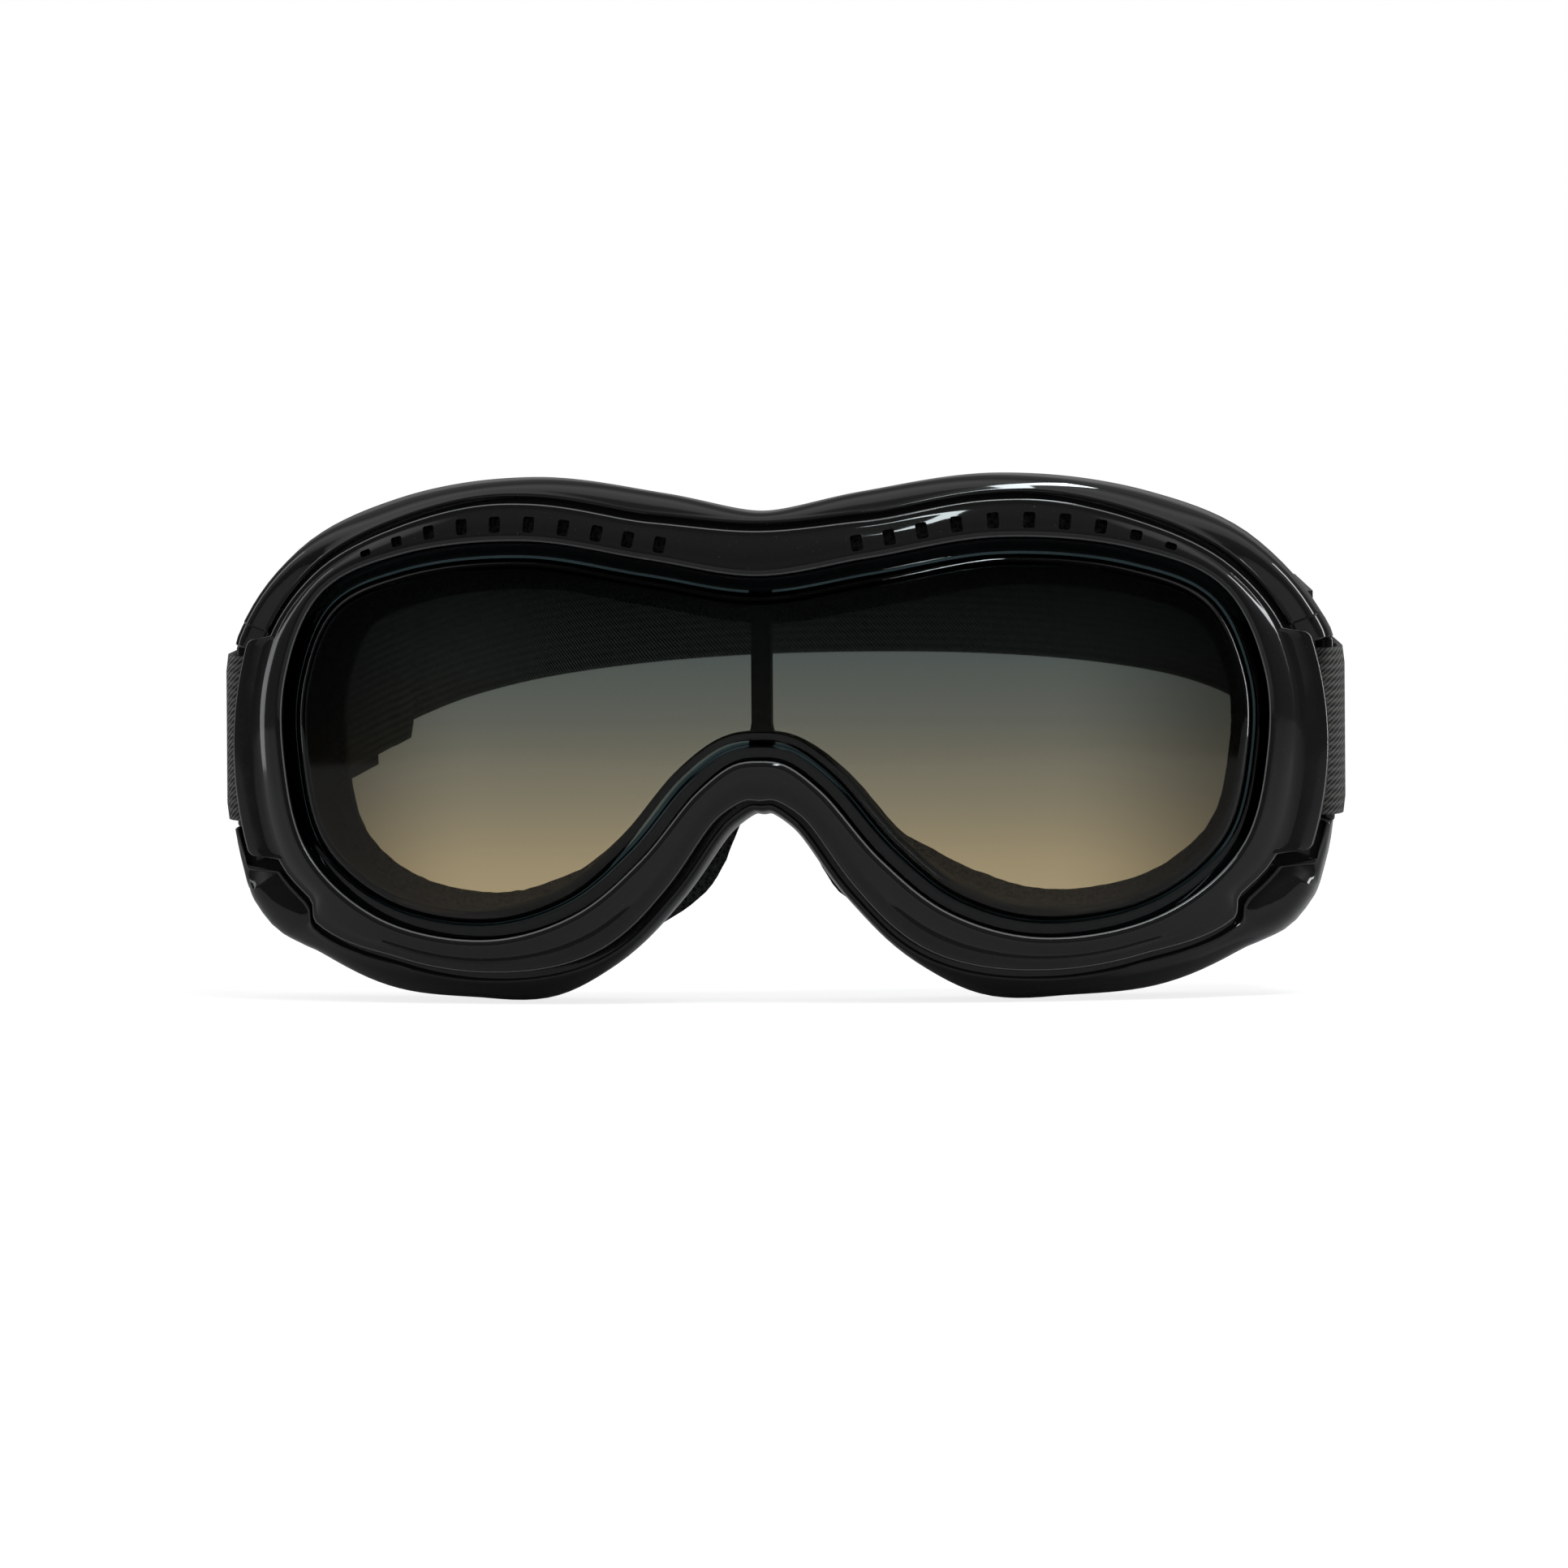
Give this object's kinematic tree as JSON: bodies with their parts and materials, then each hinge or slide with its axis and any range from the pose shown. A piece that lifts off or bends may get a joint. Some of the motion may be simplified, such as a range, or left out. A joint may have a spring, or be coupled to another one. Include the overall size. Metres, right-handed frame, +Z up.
{
  "type": "welding goggles",
  "caption": "Fit-over protective goggles: panoramic smoke lens in a glossy press-on bezel, flared shell, face foam and an adjustable elastic head strap.",
  "frame": {"origin": "centre plane, top of the nose arch, on the lens front", "axes": "+X towards the wearer's left (right in the picture), +Y back towards the wearer's face, +Z up"},
  "size_m": [0.179, 0.2164, 0.082],
  "materials": {
    "gloss_black": "injection-moulded glossy black",
    "smoke_lens": "clear polished, light smoke tint with teal edges",
    "seal_rubber": "soft black rubber",
    "post_dark_blue": "dark blue-black satin plastic",
    "open_cell_foam": "coarse open-cell foam, charcoal",
    "elastic_webbing": "woven elastic, charcoal",
    "slider_plastic": "satin black plastic"
  },
  "bodies": {
    "frame": {"rear_shell": "gloss_black", "lens_seal": "seal_rubber", "centre_post": "post_dark_blue", "face_foam": "open_cell_foam", "brow_filter_left": "open_cell_foam", "brow_filter_right": "open_cell_foam", "strap_loop_left": "elastic_webbing", "strap_loop_right": "elastic_webbing"},
    "bezel": {"front_bezel": "gloss_black", "lens": "smoke_lens"},
    "strap": {"strap_band": "elastic_webbing", "strap_tail_left": "elastic_webbing", "strap_tail_right": "elastic_webbing"},
    "slider_left": {"strap_slider_left": "slider_plastic"},
    "slider_right": {"strap_slider_right": "slider_plastic"}
  },
  "joints": [
    {"name": "bezel_release", "type": "slide", "parent": "frame", "child": "bezel", "axis": [0, -1, 0], "range_m": [0, 0.025]},
    {"name": "strap_tilt", "type": "hinge", "parent": "frame", "child": "strap", "pos_m": [0, 0.04259, 0.0005], "axis": [1, 0, 0], "range_deg": [-35, 30]},
    {"name": "slider_left_adjust", "type": "slide", "parent": "strap", "child": "slider_left", "axis": [-0.1668, 0.9739, 0.1542], "range_m": [-0.01, 0.014]},
    {"name": "slider_right_adjust", "type": "slide", "parent": "strap", "child": "slider_right", "axis": [0.1668, 0.9739, 0.1542], "range_m": [-0.01, 0.014]}
  ]
}
